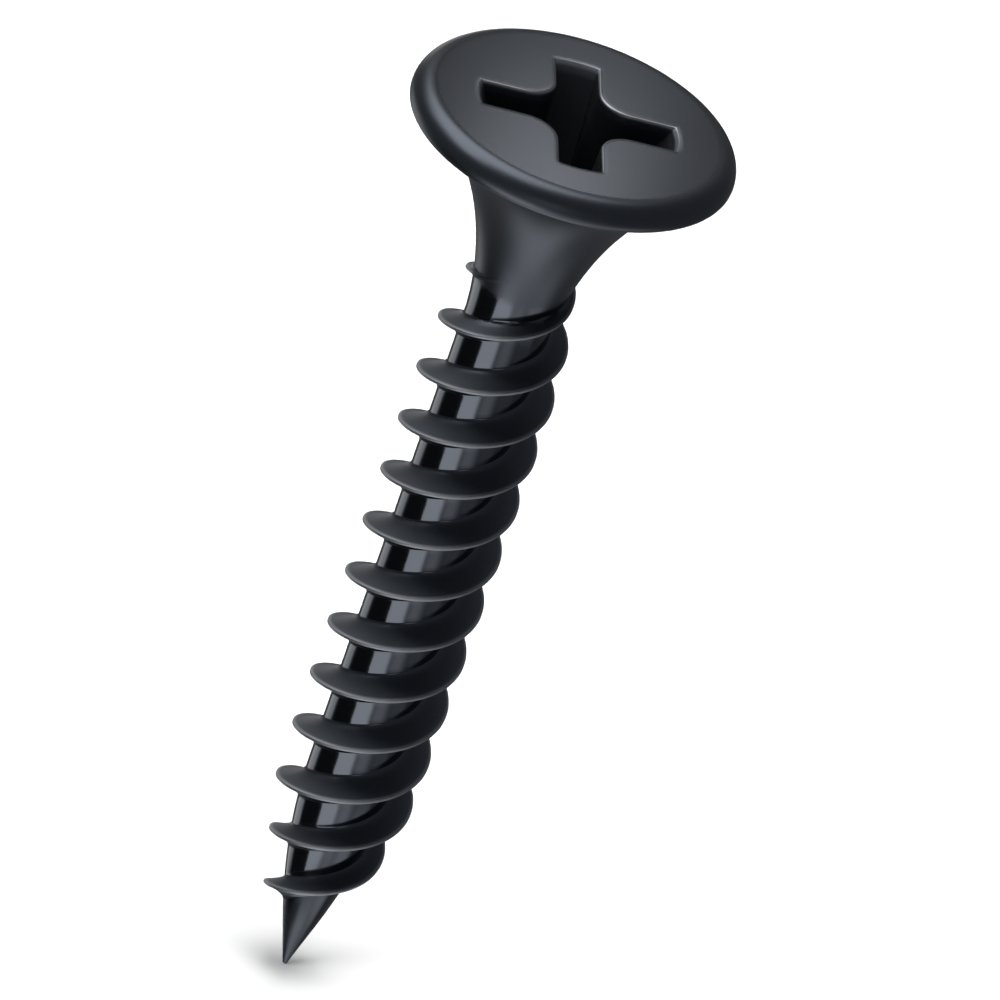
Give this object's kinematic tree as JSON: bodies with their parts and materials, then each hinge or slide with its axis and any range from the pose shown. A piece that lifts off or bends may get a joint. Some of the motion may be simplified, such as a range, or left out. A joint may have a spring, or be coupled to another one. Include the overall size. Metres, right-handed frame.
{
  "type": "wood screw",
  "caption": "Black bugle-head wood screw with a cross recess, coarse right-hand thread and a sharp cone point.",
  "frame": {"origin": "centre of the head's flat top, which lies flush with the board when the screw is driven home", "axes": "+Z out of the head along the screw's axis, so the point is at the lowest Z; +X and +Y along the wings of the cross recess"},
  "size_m": [0.0082, 0.0082, 0.025],
  "materials": {
    "black_phosphate_steel": "satin black"
  },
  "bodies": {
    "root": {"screw": "black_phosphate_steel"}
  },
  "joints": []
}
